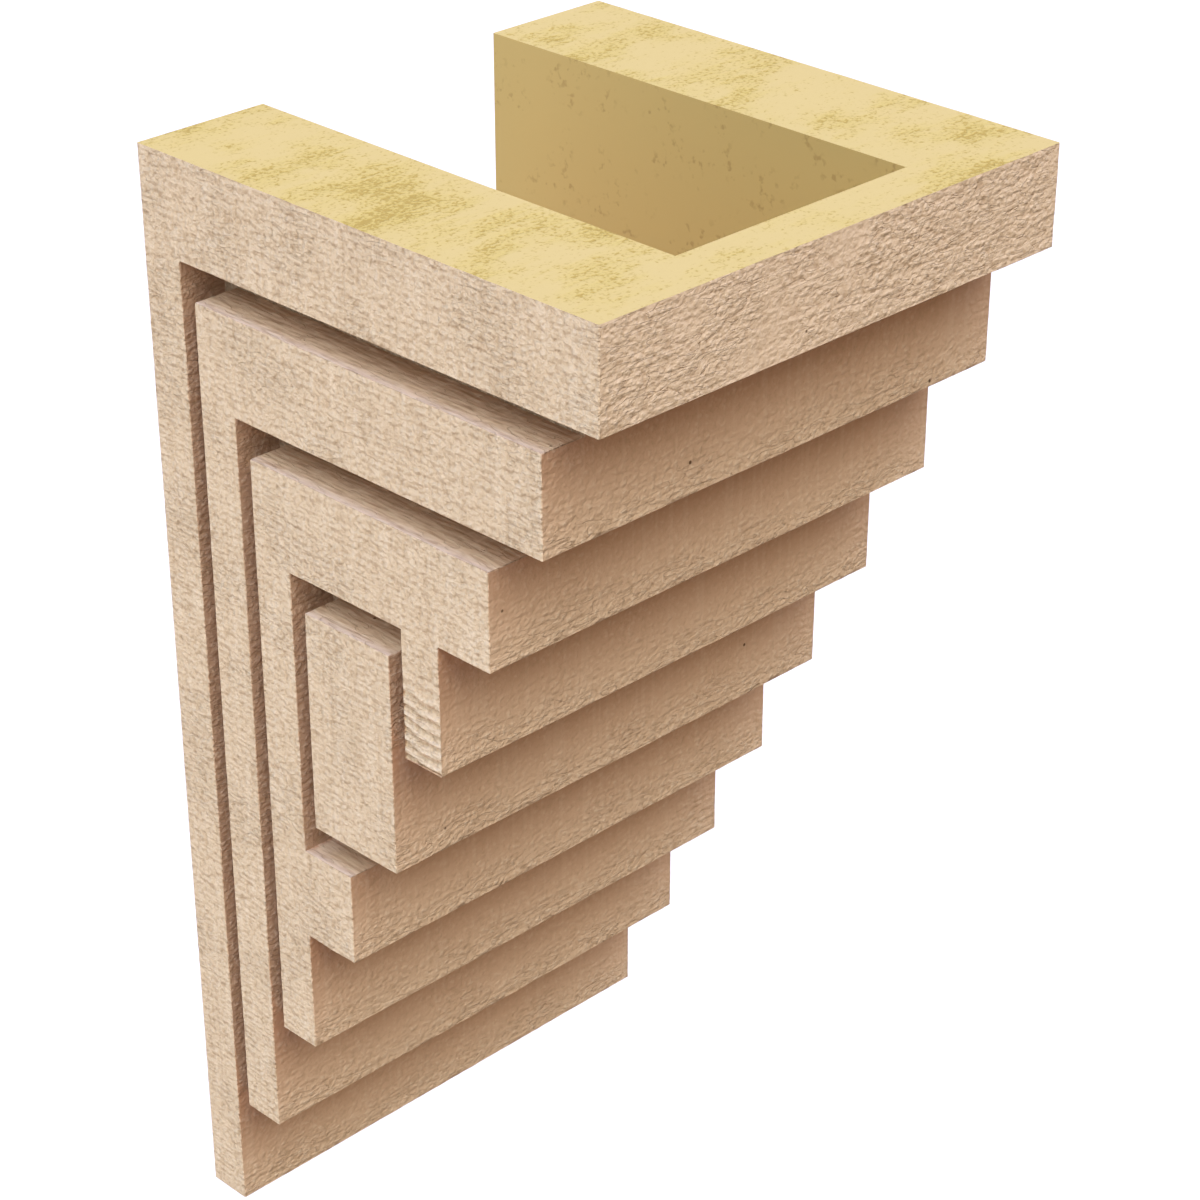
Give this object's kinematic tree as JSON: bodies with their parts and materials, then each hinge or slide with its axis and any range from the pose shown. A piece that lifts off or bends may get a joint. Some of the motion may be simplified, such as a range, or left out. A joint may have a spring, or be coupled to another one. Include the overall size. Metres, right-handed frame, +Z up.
{
  "type": "urethane corbel",
  "caption": "Wall corbel shaped as an inverted staircase, with nested grooves in both sides and a wedge-shaped pocket open at the top and back.",
  "frame": {"origin": "middle of the solid foot of the back face, where the corbel is fastened to the wall", "axes": "+Z up, +Y into the wall, the stepped front faces -Y, X across the width"},
  "size_m": [0.1524, 0.1524, 0.3048],
  "materials": {
    "primed_urethane": "matte tan primer over a rough-sawn moulded texture, with raw pale yellow foam on the cut top, the pocket and the back"
  },
  "bodies": {
    "root": {"corbel_body": "primed_urethane"}
  },
  "joints": []
}
